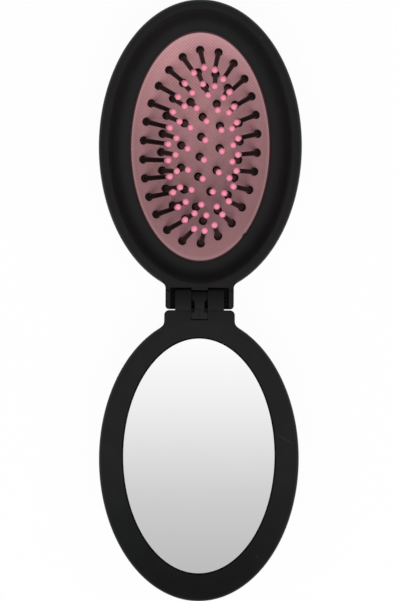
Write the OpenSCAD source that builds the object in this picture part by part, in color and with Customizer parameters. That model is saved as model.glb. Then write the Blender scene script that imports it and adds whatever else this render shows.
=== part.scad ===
// Folding hairbrush with a mirror, lying open: the brush half towards +Y, the mirror half towards -Y,
// the pad, the pins and the glass facing +Z. The back of the brush half stands on the XY plane.
// The hinge axis runs along X above the origin, in the plane where the two rims meet when it is shut.
// The rubber pad is dished in, as it is when the brush is put away. Pushed through the opening in
// the back it snaps out, and its pins, which lean in here, fan out.

/* [Brush half] */
// Length of the brush half's oval
brush_len = 88.2; // [84:0.1:94]
// Width of the brush half's oval
brush_w = 61; // [58:0.1:66]
// Depth of the brush half, from the plane where the rims meet to its flat back
brush_depth = 21; // [20:0.1:24]
// Distance from the hinge axis to the near end of the brush half's oval
brush_reach = 2.1; // [1.6:0.1:3]
// Wall of the brush half's shell
brush_wall = 2; // [1.6:0.1:2.3]
// Width of the brush half's rolled rim
brush_rim_w = 3.6; // [3.2:0.1:4.2]
// Height of the brush half's rolled rim
brush_rim_h = 2.2; // [1.8:0.1:2.6]
// How far the flat of the back lies inside the oval
back_inset = 13.5; // [11:0.1:15]
// How far the edge of the finger opening in the back lies inside the oval
opening_inset = 18.3; // [17:0.1:20]
// Size of the broken edge of the finger opening
opening_edge = 0.6; // [0.3:0.1:1]
// Thickness of the ledge that the pad's edge lies on
ledge_t = 1.5; // [1.2:0.1:1.8]
// How far the ledge stays behind the lip over it
ledge_back = 0.3; // [0.1:0.1:0.8]

/* [Pad frame] */
// How far below the rim plane the frame's top edge lies
frame_top = 3.1; // [2.9:0.1:3.6]
// How far the frame's lip lies inside the oval: the edge of the pad that shows
lip_inset = 9.6; // [9:0.1:10.2]
// Thickness of the frame's lip
lip_t = 0.65; // [0.5:0.05:0.8]
// Wall of the frame
frame_wall = 1.3; // [1.1:0.1:1.5]

/* [Pad] */
// Height of the pad's edge over the back of the brush half
pad_stand = 10.95; // [10.5:0.05:11.4]
// Thickness of the rubber pad
pad_t = 1.3; // [1.1:0.1:1.5]
// How deep the pad is dished
pad_sag = 5.9; // [5:0.1:6.2]
// How flat the bottom of the dish is: 2 is a parabola, more is flatter
pad_power = 3.3; // [2.6:0.1:4]
// Width of the pad's edge that is clamped under the frame's lip
pad_bead_w = 3.2; // [2.6:0.1:3.4]

/* [Pins] */
// Length of a pin, from the face of the pad to the middle of its ball
pin_len = 13.3; // [12:0.1:13.8]
// Radius of a pin at its root
pin_root_r = 0.8; // [0.65:0.05:0.9]
// Radius of a pin at its ball
pin_top_r = 0.64; // [0.5:0.02:0.7]
// Radius of the collar that a pin rests on the pad with
collar_r = 1.25; // [1.1:0.05:1.35]
// Height of that collar
collar_h = 0.5; // [0.3:0.05:0.7]
// Radius of the head that holds a pin behind the pad
head_r = 1.5; // [1.3:0.05:1.7]
// Thickness of that head
head_t = 0.7; // [0.5:0.05:0.9]
// Radius of the ball on a pin
ball_r = 1.05; // [0.9:0.05:1.1]
// Lean of all pins to one side, from the pad having been pushed in unevenly
lean_x = 5.8; // [0:0.2:7]
// Lean of all pins towards the hinge
lean_y = 4.6; // [0:0.2:6]
// Turn of the whole pattern of pins on the pad
pattern_turn = -4; // [-6:0.2:0]
// How far the outer ring of pins lies inside the edge of the pad, across and along
outer_inset = [3.6, 5.1]; // [3:0.1:7]
// How far the middle ring of pins lies inside the edge of the pad, across and along
middle_inset = [9.1, 11.7]; // [8:0.1:13]
// How far the inner ring of pins lies inside the edge of the pad, across and along
inner_inset = [15.1, 16.3]; // [14:0.1:18]
// Distance between the pins on the centre line
centre_pitch = 6; // [5.4:0.1:6.6]

/* [Hinge] */
// Radius of the mirror half's two knuckles
knuckle_r = 3.5; // [3.2:0.1:3.8]
// Width of a knuckle
knuckle_w = 4.8; // [4.2:0.1:5]
// Gap between a knuckle and the ear beside it
ear_gap = 1.5; // [0.8:0.1:1.8]
// Thickness of the brush half's ears
ear_t = 1.45; // [1.2:0.05:1.8]
// Radius of an ear's round end, as high as it stands over the rims
ear_r = 2.5; // [2.2:0.1:2.8]
// Radius of the round corners of the ears, seen from above
ear_corner_r = 0.75; // [0.5:0.05:1]
// Radius of the flare where the ears run into the brush half's oval
brush_flare_r = 1.2; // [0.6:0.1:2]
// Radius of the hinge pin
hinge_pin_r = 1; // [0.8:0.05:1.1]
// Clearance of the hinge pin in the knuckles
pin_play = 0.05; // [0.03:0.01:0.09]
// Gap between a knuckle and the trough that it turns in
trough_gap = 0.3; // [0.25:0.05:0.4]
// Floor of the trough
trough_wall = 1.8; // [1.4:0.1:2.2]
// Distance from the hinge axis to the shoulder of the mirror half
shoulder_reach = 3.5; // [3.3:0.1:4]
// Width of the mirror half's shoulder
shoulder_w = 21.2; // [20.6:0.1:22]
// Depth of the mirror half's shoulder
shoulder_depth = 6.6; // [5.6:0.1:7.4]
// Radius of the corners of the shoulder, seen from above
shoulder_corner_r = 0.9; // [0.5:0.1:1.4]
// Radius of the flare where the shoulder runs into the mirror half's oval
mirror_flare_r = 1.2; // [0.6:0.1:2]

/* [Click spring] */
// Width of the spring's head, which fills the gap between the knuckles
spring_head_w = 4.8; // [4.4:0.1:5]
// Radius of the spring's head about the hinge axis
spring_head_r = 2.9; // [2.6:0.1:3]
// Width of the spring's stem
spring_stem_w = 2.9; // [2.4:0.1:3.2]
// Thickness of the spring's stem
spring_stem_t = 1.3; // [1:0.05:1.35]
// Length and thickness of the spring's foot, which sits in a notch of the mirror half
spring_foot = 2.05; // [1.8:0.05:2.3]
// Distance from the hinge axis to where the head narrows to the stem
spring_neck = 1.1; // [0.8:0.1:1.6]
// Width of the groove down the middle of the stem and the foot
groove_w = 0.3; // [0.2:0.05:0.5]
// Depth of that groove
groove_d = 0.3; // [0.2:0.05:0.5]

/* [Mirror half] */
// Length of the mirror half's oval
mirror_len = 85.5; // [80:0.1:90]
// Width of the mirror half's oval
mirror_w = 60; // [56:0.1:64]
// Depth of the mirror half
mirror_depth = 10; // [9:0.1:12]
// Distance from the hinge axis to the near end of the mirror half's oval
mirror_reach = 4.85; // [4.4:0.1:5.6]
// How far the flat of the mirror half's back lies inside the oval
mirror_back_inset = 12; // [9:0.1:14]
// How far the top of the mirror half's rim lies inside the oval
crest_inset = 2.2; // [1.8:0.1:2.6]
// Height of the mirror half's rim
mirror_rim_h = 2; // [1.6:0.1:2.6]
// How far the glass lies inside the oval
glass_inset = 7.25; // [6.8:0.1:8]
// How far the middle of the glass lies nearer to the hinge than the middle of the oval
glass_shift = 0.85; // [0:0.05:1.2]
// How far below the rim plane the edge round the glass lies
glass_lip = 1.5; // [1.2:0.1:1.8]
// Thickness of the glass
glass_t = 1.8; // [1.5:0.1:2.2]
// Thickness of the foam tape behind the glass
tape_t = 0.5; // [0.4:0.1:0.8]
// Width of the ledge that the edge of the glass rests on
ledge_w = 1.6; // [1.2:0.1:2.4]
// Wall of the mirror half's back
mirror_wall = 1.8; // [1.4:0.1:2.4]
// Thickness of the ribs under the glass
rib_t = 1.2; // [1:0.1:1.6]
// Distance between the ribs that run across
rib_pitch = 12; // [9:0.5:15]
// Distance of the two long ribs from the middle
long_rib_x = 8; // [5:0.5:11]

/* [Fits] */
// How far each rim stays below the plane where they meet
rim_clear = 0.15; // [0.1:0.05:0.25]
// Gap between pieces that sit on or in each other
fit = 0.1; // [0.05:0.01:0.15]
// Gap between a pin and the rubber round it
rubber_gap = 0.15; // [0.1:0.01:0.2]

/* [Hidden] */
segs = 80;
pad_segs = 56;
pin_segs = 24;
turning_segs = 64;
eps = 0.01;
brush_a = brush_w / 2;
brush_b = brush_len / 2;
brush_y = brush_reach + brush_b;
mirror_a = mirror_w / 2;
mirror_b = mirror_len / 2;
mirror_y = -mirror_reach - mirror_b;
rim_z = brush_depth;
glass_y = mirror_y + glass_shift;
glass_a = mirror_a - glass_inset;
glass_b = mirror_b - glass_inset;
glass_z = -glass_lip - 2 * fit;
glass_floor = glass_z - glass_t - tape_t - 2 * fit;

// The pad is clamped between the frame's lip and the shell's ledge
pad_top = pad_stand - brush_depth;
frame_lip = -pad_top - lip_t - fit;
pad_bead_t = pad_t + 2 * fit;
pad_a = brush_a - lip_inset;
pad_b = brush_b - lip_inset;
ledge_z = pad_top - pad_bead_t - fit;
ledge_inset = lip_inset - ledge_back;
bead_inset = lip_inset - pad_bead_w;
outer_ring = [pad_a, pad_b] - outer_inset;
middle_ring = [pad_a, pad_b] - middle_inset;
inner_ring = [pad_a, pad_b] - inner_inset;

// How full the corner between a half's side and its back is: 1 is a quarter of an ellipse
back_bend = 0.83;

// The hinge, counted from its middle along X
knuckle_in = spring_head_w / 2 + fit;
knuckle_out = knuckle_in + knuckle_w;
ear_in = knuckle_out + ear_gap;
ear_out = ear_in + ear_t;
trough_r = knuckle_r + trough_gap;
head_room_r = spring_head_r + 2 * fit;
arm_t = sqrt(pow(trough_r - trough_gap, 2) - pow(ear_r, 2));
spring_foot_y = -shoulder_reach - 2 * fit;
spring_top = -2 * rim_clear;
stem_floor = spring_top - spring_stem_t - 2 * fit;

OUTER = 26;
MIDDLE = 20;
INNER = 12;
CENTRE = 4;
outer_split = [4, 3, 3, 3, 4, 3, 3, 3];
middle_split = [4, 3, 3, 4, 3, 3];
inner_split = [3, 3, 3, 3];

NODES = concat(
    ["brush_shell", "pad_frame", "pad", "hinge_pin", "click_spring"],
    ["mirror_shell", "mirror_tape", "mirror_glass", "centre_pins", "centre_balls"],
    [for (part = ["pins", "balls"], i = [1:len(outer_split)]) str("outer_", part, "_", i)],
    [for (part = ["pins", "balls"], i = [1:len(middle_split)]) str("middle_", part, "_", i)],
    [for (part = ["pins", "balls"], i = [1:len(inner_split)]) str("inner_", part, "_", i)]
);
node = "all";

// One corner of an outline that bends from its side at t = 0 to its bottom at t = 90
function bend(side, bottom, power, t) = [
    side[0] + (bottom[0] - side[0]) * (1 - pow(cos(t), power)),
    side[1] + (bottom[1] - side[1]) * pow(sin(t), power)
];
// The angle at which such a bend is at height z
function bend_angle(side, bottom, power, z) =
    asin(pow((z - side[1]) / (bottom[1] - side[1]), 1 / power));

// A ring of an oval loft: an outline point [inset, z] as half width, half length and height
function inset_ring(a, b, point) = [a - point[0], b - point[0], point[1]];

// A solid through oval rings, each [half width, half length, height]. The rings run up the outside
// and down the inside. A tube closes on itself, and any other loft has a flat face at each end.
module oval_loft(rings, n, tube = false) {
    count = len(rings);
    points = [for (ring = rings, i = [0:n - 1]) let (t = 360 * i / n)
        [ring[0] * cos(t), ring[1] * sin(t), ring[2]]];
    strips = [for (k = [0:count - (tube ? 1 : 2)], i = [0:n - 1])
        let (low = k * n, high = (k + 1) % count * n, j = (i + 1) % n)
        each [[low + i, high + i, high + j], [low + i, high + j, low + j]]];
    first = [for (i = [0:n - 1]) i];
    last = [for (i = [n - 1:-1:0]) (count - 1) * n + i];
    polyhedron(points, tube ? strips : concat(strips, [first, last]), convexity = 6);
}

// A flat oval, drawn on the same points as the lofts
module oval(a, b, n = segs) {
    polygon([for (i = [0:n - 1]) [a * cos(360 * i / n), b * sin(360 * i / n)]]);
}

// Something drawn in the YZ plane, pushed out to both sides along X
module across(width) {
    rotate([90, 0, 90]) linear_extrude(width, center = true) children();
}

// A cylinder along X on the hinge axis
module on_axis(r, width) {
    rotate([0, 90, 0]) cylinder(r = r, h = width, center = true, $fn = turning_segs);
}

// How far from the hinge axis an oval's near end lies, at a distance x from its middle line
function near_end(half, reach, inset, x) =
    reach + half[1] - (half[1] - inset) * sqrt(1 - pow(x / (half[0] - inset), 2));

// The outline of a hinge block from above, from its free end to the crest of the oval's rim: rounded
// free corners, and flares that run out along the oval
module block_plan(half_w, free_y, half, reach, crest, flare, r) {
    slope = atan(half[1] * half_w / half[0] / sqrt(pow(half[0], 2) - pow(half_w, 2)));
    flare_w = flare * (1 - sin(slope));
    flare_y = near_end(half, reach, 0, half_w) - flare_w / cos(slope);
    root_y = near_end(half, reach, crest, half_w + flare_w);
    translate([-half_w, free_y + r]) square([2 * half_w, root_y - free_y - r]);
    translate([r - half_w, free_y]) square([2 * (half_w - r), r + eps]);
    for (x = [-1, 1]) {
        translate([x * (half_w - r), free_y + r]) circle(r, $fn = turning_segs / 2);
        difference() {
            translate([x * (half_w + flare_w / 2) - flare_w / 2 - eps, flare_y])
                square([flare_w + 2 * eps, root_y - flare_y]);
            translate([x * (half_w + flare), flare_y]) circle(flare, $fn = turning_segs);
        }
    }
}

/* Brush half */

shell_side = [0, -brush_rim_h];
shell_bottom = [back_inset, -brush_depth];
shell_in_side = [brush_wall, -brush_rim_h];
shell_in_bottom = [back_inset, brush_wall - brush_depth];
shell_steps = 7;
rim_steps = 8;
function shell_inside(t) = bend(shell_in_side, shell_in_bottom, back_bend, t);

function shell_outline() = let (
    under_rim = bend_angle(shell_in_side, shell_in_bottom, back_bend, fit - frame_top),
    over_ledge = bend_angle(shell_in_side, shell_in_bottom, back_bend, ledge_z),
    under_ledge = bend_angle(shell_in_side, shell_in_bottom, back_bend, ledge_z - ledge_t),
    rim_rise = brush_rim_h - rim_clear
) concat(
    [[opening_inset - opening_edge, -brush_depth]],
    [for (i = [shell_steps:-1:0]) bend(shell_side, shell_bottom, back_bend, 90 * i / shell_steps)],
    [for (i = [1:rim_steps]) let (t = 180 * i / rim_steps)
        [brush_rim_w / 2 * (1 - cos(t)), -brush_rim_h + rim_rise * sin(t)]],
    [[brush_rim_w, fit - frame_top], shell_inside(under_rim)],
    [for (share = [0.6, 0.8, 1]) shell_inside(over_ledge * share)],
    [[ledge_inset, ledge_z], [ledge_inset, ledge_z - ledge_t]],
    [for (share = [0:0.25:1]) shell_inside(under_ledge + (90 - under_ledge) * share)],
    [[opening_inset, brush_wall - brush_depth], [opening_inset, opening_edge - brush_depth]]
);

// The hinge block seen from the side: a round underside about the hinge axis, cut off in front of it
module block_side() {
    bottom_r = trough_r + trough_wall;
    intersection() {
        union() {
            circle(bottom_r, $fn = turning_segs);
            translate([0, -bottom_r]) square(2 * bottom_r);
        }
        translate([-ear_r, -bottom_r]) square([3 * bottom_r, bottom_r - rim_clear]);
    }
}

module brush_block() {
    crest = brush_rim_w / 2;
    difference() {
        intersection() {
            union() {
                across(2 * brush_a) block_side();
                across(2 * ear_out) circle(ear_r, $fn = turning_segs);
            }
            translate([0, 0, -brush_depth]) linear_extrude(2 * brush_depth) block_plan(
                ear_out, -ear_r, [brush_a, brush_b], brush_reach, crest, brush_flare_r, ear_corner_r
            );
        }
        translate([0, brush_y, -brush_depth]) linear_extrude(2 * brush_depth)
            oval(brush_a - crest, brush_b - crest);
    }
}

module brush_shell() {
    color([0.13, 0.13, 0.14]) translate([0, 0, rim_z]) difference() {
        union() {
            translate([0, brush_y, 0])
                oval_loft([for (p = shell_outline()) inset_ring(brush_a, brush_b, p)], segs, tube = true);
            brush_block();
        }
        on_axis(trough_r, 2 * ear_in);
        on_axis(hinge_pin_r, 2 * ear_out + 1);
    }
}

lip_chamfer = lip_t / 3;
frame_in_side = [brush_rim_w + fit, -frame_top];
frame_in_bottom = [lip_inset - lip_chamfer, -frame_lip];
frame_steps = 7;
function frame_outline() = let (
    foot_in = bead_inset - fit,
    foot_out = foot_in - frame_wall,
    outer_side = [brush_wall + 3 * fit, -frame_top],
    outer_bottom = [foot_out, -frame_lip - lip_t]
) concat(
    [[foot_in, ledge_z + fit], [foot_out, ledge_z + fit]],
    [for (share = [1:-0.25:0]) bend(outer_side, outer_bottom, 1, 90 * share)],
    [for (i = [0:frame_steps]) bend(frame_in_side, frame_in_bottom, 1, 90 * i / frame_steps)],
    [[lip_inset, -frame_lip - lip_chamfer], [lip_inset - lip_chamfer, -frame_lip - lip_t]],
    [[foot_in, -frame_lip - lip_t]]
);

module pad_frame() {
    color([0.12, 0.12, 0.13]) translate([0, brush_y, rim_z])
        oval_loft([for (p = frame_outline()) inset_ring(brush_a, brush_b, p)], segs, tube = true);
}

/* Pad and pins. rho runs from 0 in the middle of the pad to 1 at the frame's lip */

function pad_height(rho) = pad_top - pad_sag * (1 - pow(rho, pad_power));
function pad_rho(p) = norm([p[0] / pad_a, p[1] / pad_b]);
// The slope of the pad at a point, along X and Y
function pad_slope(p) = let (k = pad_sag * pad_power * pow(max(pad_rho(p), eps), pad_power - 2))
    [k * p[0] / pow(pad_a, 2), k * p[1] / pow(pad_b, 2)];

pad_steps = [0.14, 0.3, 0.44, 0.56, 0.67, 0.77, 0.86, 0.93, 1];
function pad_rings() = concat(
    [for (rho = pad_steps) [pad_a * rho, pad_b * rho, pad_height(rho) - pad_t]],
    [
        inset_ring(brush_a, brush_b, [lip_inset - pad_bead_w / 4, pad_top - pad_bead_t]),
        inset_ring(brush_a, brush_b, [bead_inset, pad_top - pad_bead_t]),
        inset_ring(brush_a, brush_b, [bead_inset, pad_top])
    ],
    [for (i = [len(pad_steps) - 1:-1:0]) let (rho = pad_steps[i])
        [pad_a * rho, pad_b * rho, pad_height(rho)]]
);

// How far round an oval each degree of its parameter lies, as pairs for lookup()
function oval_point(size, t) = [size[0] * cos(t), size[1] * sin(t)];
function arc_table(size) = [
    for (i = 0, s = 0; i <= 360; s = s + norm(oval_point(size, i + 1) - oval_point(size, i)), i = i + 1)
        [s, i]
];
function turned(p, angle) = [p[0] * cos(angle) - p[1] * sin(angle), p[0] * sin(angle) + p[1] * cos(angle)];
// Pins at equal distances round an oval. The first one lies a share of a step past +X
function ring_roots(ring, count, first) = let (table = arc_table(ring), round = table[360][0]) [
    for (k = [0:count - 1])
        turned(oval_point(ring, lookup(round * (k + first) / count, table)), pattern_turn)
];
outer_roots = ring_roots(outer_ring, OUTER, 0.9);
middle_roots = ring_roots(middle_ring, MIDDLE, 0.45);
inner_roots = ring_roots(inner_ring, INNER, 0);
centre_roots = [for (k = [0:CENTRE - 1]) turned([0, centre_pitch * (k - (CENTRE - 1) / 2)], pattern_turn)];
all_roots = concat(outer_roots, middle_roots, inner_roots, centre_roots);

// The pins from first to last of a ring, where the ring is split into groups
function group_first(split, i) = i == 1 ? 0 : group_first(split, i - 1) + split[i - 2];
function group(roots, split, i) = let (first = group_first(split, i))
    [for (k = [first:first + split[i - 1] - 1]) roots[k]];

// Sets something on the face of the pad at each point: square to the rubber, but for the pins' lean
module on_pad(roots) {
    for (p = roots) {
        v = [tan(lean_x), -tan(lean_y)] - pad_slope(p);
        translate([p[0], brush_y + p[1], rim_z + pad_height(pad_rho(p))])
            rotate([0, atan(norm(v)), atan2(v[1], v[0])]) children();
    }
}

module pad() {
    hole_r = pin_root_r + 2 * rubber_gap;
    color([0.72, 0.53, 0.54]) difference() {
        translate([0, brush_y, rim_z]) oval_loft(pad_rings(), pad_segs);
        on_pad(all_roots) translate([0, 0, -2 * pad_t])
            cylinder(r = hole_r, h = 4 * pad_t, $fn = pin_segs);
    }
}

// A moulded pin: a flat head behind the pad, a collar on its face and a tapered stem
module pin() {
    back = -pad_t - 2 * rubber_gap;
    face = 2 * rubber_gap;
    rotate_extrude($fn = pin_segs) polygon([
        [0, back - head_t], [head_r, back - head_t], [head_r, back], [pin_root_r, back],
        [pin_root_r, face], [collar_r, face], [collar_r, face + collar_h],
        [pin_root_r, face + 2 * collar_h + rubber_gap], [pin_top_r, pin_len - ball_r / 2],
        [pin_top_r, pin_len], [0, pin_len]
    ]);
}

// The ball that a pin's end is dipped into, with the socket that the end fills
module ball() {
    socket_gap = fit / 5;
    translate([0, 0, pin_len]) difference() {
        sphere(ball_r, $fn = pin_segs);
        translate([0, 0, -2 * ball_r])
            cylinder(r = pin_top_r + socket_gap, h = 2 * ball_r + socket_gap, $fn = pin_segs);
    }
}

module pins(roots) { color([0.14, 0.09, 0.09]) on_pad(roots) pin(); }
module balls(roots) { color([1, 0.59, 0.66]) on_pad(roots) ball(); }

/* Hinge */

module hinge_pin() {
    color([0.2, 0.2, 0.2]) translate([0, 0, rim_z]) on_axis(hinge_pin_r, 2 * ear_out - 2 * fit);
}

// The click spring from above: a head round the hinge pin, a slim stem and a foot
module spring_plan() {
    taper = (spring_head_w - spring_stem_w) / 2;
    half = [
        [spring_head_w / 2, spring_head_r], [spring_head_w / 2, -spring_neck],
        [spring_stem_w / 2, -spring_neck - taper],
        [spring_stem_w / 2, spring_foot_y], [spring_head_w / 2, spring_foot_y],
        [spring_head_w / 2, spring_foot_y - spring_foot]
    ];
    polygon(concat(half, [for (i = [len(half) - 1:-1:0]) [-half[i][0], half[i][1]]]));
}

module spring_side() {
    circle(spring_head_r, $fn = turning_segs);
    translate([spring_foot_y - eps, spring_top - spring_stem_t]) square([-spring_foot_y, spring_stem_t]);
    translate([spring_foot_y - spring_foot, spring_top - spring_foot]) square([spring_foot, spring_foot]);
}

module click_spring() {
    color([0.16, 0.16, 0.17]) translate([0, 0, rim_z]) difference() {
        intersection() {
            across(spring_head_w) spring_side();
            translate([0, 0, -brush_depth]) linear_extrude(2 * brush_depth) spring_plan();
        }
        on_axis(hinge_pin_r + pin_play, 2 * ear_out);
        translate([-groove_w / 2, spring_foot_y + fit, spring_top - groove_d])
            cube([groove_w, -spring_foot_y - spring_neck - 2 * fit, 2 * groove_d]);
    }
}

/* Mirror half */

mirror_side = [0, -mirror_rim_h];
mirror_bottom = [mirror_back_inset, -mirror_depth];
mirror_steps = 7;
crest_steps = 4;
function mirror_outline() = concat(
    [for (i = [mirror_steps:-1:0]) bend(mirror_side, mirror_bottom, back_bend, 90 * i / mirror_steps)],
    [for (i = [1:crest_steps]) let (t = 90 * i / crest_steps)
        [crest_inset * (1 - cos(t)), -mirror_rim_h + (mirror_rim_h - rim_clear) * sin(t)]]
);

// Rings round the glass are drawn about the glass's own middle, so that its seat is even all round
function glass_ring(out, z) = [glass_a + out, glass_b + out, z];

// The glass's seat, and the slope that runs up from it to the top of the rim
module mirror_recess() {
    crest = inset_ring(mirror_a, mirror_b, [crest_inset, -rim_clear]);
    spread = (crest[0] - glass_a - 2 * fit) / (glass_lip - rim_clear) * glass_lip;
    translate([0, glass_shift, 0]) oval_loft([
        glass_ring(-ledge_w, mirror_wall - mirror_depth),
        glass_ring(-ledge_w, glass_floor),
        glass_ring(fit, glass_floor),
        glass_ring(fit, -glass_lip),
        glass_ring(fit + spread, 0),
        glass_ring(fit + spread, 1)
    ], segs);
}

module mirror_ribs() {
    h = glass_floor + mirror_depth - mirror_wall + eps;
    rows = floor((glass_b - ledge_w) / rib_pitch);
    for (x = [-long_rib_x, long_rib_x])
        translate([x - rib_t / 2, -glass_b, 0]) cube([rib_t, 2 * glass_b, h]);
    for (k = [-rows:rows])
        translate([-glass_a, k * rib_pitch - rib_t / 2, 0]) cube([2 * glass_a, rib_t, h]);
}

// The shoulder, the two arms with their knuckles, and the web between the arms under the spring's stem
module mirror_block() {
    difference() {
        union() {
            translate([0, 0, -shoulder_depth]) linear_extrude(shoulder_depth - rim_clear)
                mirror([0, 1]) block_plan(
                    shoulder_w / 2, shoulder_reach, [mirror_a, mirror_b], mirror_reach, crest_inset,
                    mirror_flare_r, shoulder_corner_r
                );
            for (x = [-1, 1]) translate([x * (knuckle_in + knuckle_out) / 2, 0, 0]) {
                on_axis(knuckle_r, knuckle_w);
                across(knuckle_w) arm_side(-rim_clear);
            }
            across(2 * knuckle_in + eps) difference() {
                arm_side(stem_floor);
                circle(head_room_r, $fn = turning_segs);
            }
        }
        translate([0, mirror_y, -mirror_depth]) linear_extrude(2 * mirror_depth)
            oval(mirror_a - crest_inset, mirror_b - crest_inset);
    }
}

// An arm or the web seen from the side, up to height z
module arm_side(z) {
    translate([-shoulder_reach - 1, -arm_t]) square([shoulder_reach, arm_t + z]);
}

// The bore for the hinge pin, the slot for the click spring's stem and the notch that its foot sits in
module mirror_block_cuts() {
    notch = spring_foot + fit;
    on_axis(hinge_pin_r + pin_play, 2 * ear_out);
    translate([-knuckle_in, spring_foot_y - notch, spring_top - notch])
        cube([2 * knuckle_in, notch + fit, notch + 1]);
    translate([-knuckle_in, spring_foot_y, stem_floor])
        cube([2 * knuckle_in, -spring_foot_y, 1 - stem_floor]);
}

module mirror_shell() {
    color([0.13, 0.13, 0.14]) translate([0, 0, rim_z]) difference() {
        union() {
            translate([0, mirror_y, 0]) {
                difference() {
                    oval_loft([for (p = mirror_outline()) inset_ring(mirror_a, mirror_b, p)], segs);
                    mirror_recess();
                }
                translate([0, glass_shift, mirror_wall - mirror_depth - eps]) intersection() {
                    mirror_ribs();
                    linear_extrude(mirror_depth) oval(glass_a - ledge_w + eps, glass_b - ledge_w + eps);
                }
            }
            mirror_block();
        }
        mirror_block_cuts();
    }
}

module mirror_tape() {
    color([0.8, 0.8, 0.78]) translate([0, glass_y, rim_z + glass_z - glass_t - tape_t - fit])
        linear_extrude(tape_t) oval(glass_a - 2 * fit, glass_b - 2 * fit);
}

module mirror_glass() {
    color([0.85, 0.87, 0.88]) translate([0, glass_y, rim_z + glass_z - glass_t]) linear_extrude(glass_t)
        oval(glass_a, glass_b);
}

function shown(name) = node == "all" || node == name;

if (shown("brush_shell")) brush_shell();
if (shown("pad_frame")) pad_frame();
if (shown("pad")) pad();
if (shown("hinge_pin")) hinge_pin();
if (shown("click_spring")) click_spring();
if (shown("mirror_shell")) mirror_shell();
if (shown("mirror_tape")) mirror_tape();
if (shown("mirror_glass")) mirror_glass();
if (shown("centre_pins")) pins(centre_roots);
if (shown("centre_balls")) balls(centre_roots);
for (i = [1:len(outer_split)]) {
    if (shown(str("outer_pins_", i))) pins(group(outer_roots, outer_split, i));
    if (shown(str("outer_balls_", i))) balls(group(outer_roots, outer_split, i));
}
for (i = [1:len(middle_split)]) {
    if (shown(str("middle_pins_", i))) pins(group(middle_roots, middle_split, i));
    if (shown(str("middle_balls_", i))) balls(group(middle_roots, middle_split, i));
}
for (i = [1:len(inner_split)]) {
    if (shown(str("inner_pins_", i))) pins(group(inner_roots, inner_split, i));
    if (shown(str("inner_balls_", i))) balls(group(inner_roots, inner_split, i));
}
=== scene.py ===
"""A folding hairbrush with a mirror, lying open on a white table, seen from straight above."""
import math

import bmesh
import bpy
import numpy as np
from mathutils import Matrix, Vector


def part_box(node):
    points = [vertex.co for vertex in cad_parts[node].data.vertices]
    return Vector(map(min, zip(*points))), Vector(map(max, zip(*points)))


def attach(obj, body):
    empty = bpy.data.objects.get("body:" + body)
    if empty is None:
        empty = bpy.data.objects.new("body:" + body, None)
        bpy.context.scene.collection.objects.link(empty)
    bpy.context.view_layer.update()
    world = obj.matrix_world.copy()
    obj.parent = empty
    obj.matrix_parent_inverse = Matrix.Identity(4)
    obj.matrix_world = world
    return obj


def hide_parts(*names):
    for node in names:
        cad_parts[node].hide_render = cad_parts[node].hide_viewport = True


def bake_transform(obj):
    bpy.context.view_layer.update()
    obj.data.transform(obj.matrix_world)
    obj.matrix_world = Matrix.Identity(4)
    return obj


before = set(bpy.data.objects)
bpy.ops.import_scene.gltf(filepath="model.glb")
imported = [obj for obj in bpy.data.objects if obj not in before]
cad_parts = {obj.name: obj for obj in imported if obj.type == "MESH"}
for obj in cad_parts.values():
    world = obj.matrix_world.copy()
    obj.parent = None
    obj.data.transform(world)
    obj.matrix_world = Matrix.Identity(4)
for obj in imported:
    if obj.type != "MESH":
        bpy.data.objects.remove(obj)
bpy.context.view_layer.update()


# Housing of the brush half: one black injection moulding, an open bowl with a rolled rim, a ledge that
# the pad's edge lies on, an opening in the flat back for a fingertip, and the block with the two ears,
# the trough and the saddle of the hinge at its near end.
mm = 0.001
RING_STEPS = 176
TURNING_STEPS = 64
CREASE_ANGLE = math.radians(32)

shell_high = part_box("brush_shell")[1]
pin_low, pin_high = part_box("hinge_pin")
hinge = (pin_low + pin_high) / 2
rim_z = hinge.z
RIM_CLEAR = 0.15 * mm
rim_top = rim_z - RIM_CLEAR
brush_half = Vector((shell_high.x, 44.1 * mm, 0))
brush_middle = Vector((0, shell_high.y - brush_half.y, 0))
RIM_W = 3.6 * mm
RIM_H = 2.2 * mm
BRUSH_WALL = 2 * mm
BACK_INSET = 13.5 * mm
OPENING_INSET = 18.3 * mm
OPENING_EDGE = 0.6 * mm
CORNER_FULLNESS = 0.83
PAD_DROP = 10.05 * mm
LEDGE_DROP = 11.65 * mm
LEDGE_T = 1.5 * mm
LEDGE_INSET = 9.3 * mm
SEAT_DROP = 3 * mm


def bend(side, bottom, fullness, turn):
    """A point of the corner between an upright side and a flat bottom, as (inset, height)."""
    across = 1 - math.cos(turn) ** fullness if turn < math.pi / 2 else 1
    down = math.sin(turn) ** fullness if turn > 0 else 0
    return side[0] + (bottom[0] - side[0]) * across, side[1] + (bottom[1] - side[1]) * down


def bend_turn(side, bottom, fullness, height):
    """How far round that corner a height lies."""
    return math.asin(((height - side[1]) / (bottom[1] - side[1])) ** (1 / fullness))


def steps(first, last, count):
    """Evenly spaced numbers from first to last."""
    return [first + (last - first) * i / count for i in range(count + 1)]


def pulled_ring(bm, edges):
    """Pulls a new ring out of a ring of edges, and gives its corners and its edges."""
    pulled = bmesh.ops.extrude_edge_only(bm, edges=edges)["geom"]
    ring = {g for g in pulled if isinstance(g, bmesh.types.BMVert)}
    edges = [e for e in pulled if isinstance(e, bmesh.types.BMEdge) and set(e.verts) <= ring]
    return list(ring), edges


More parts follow.
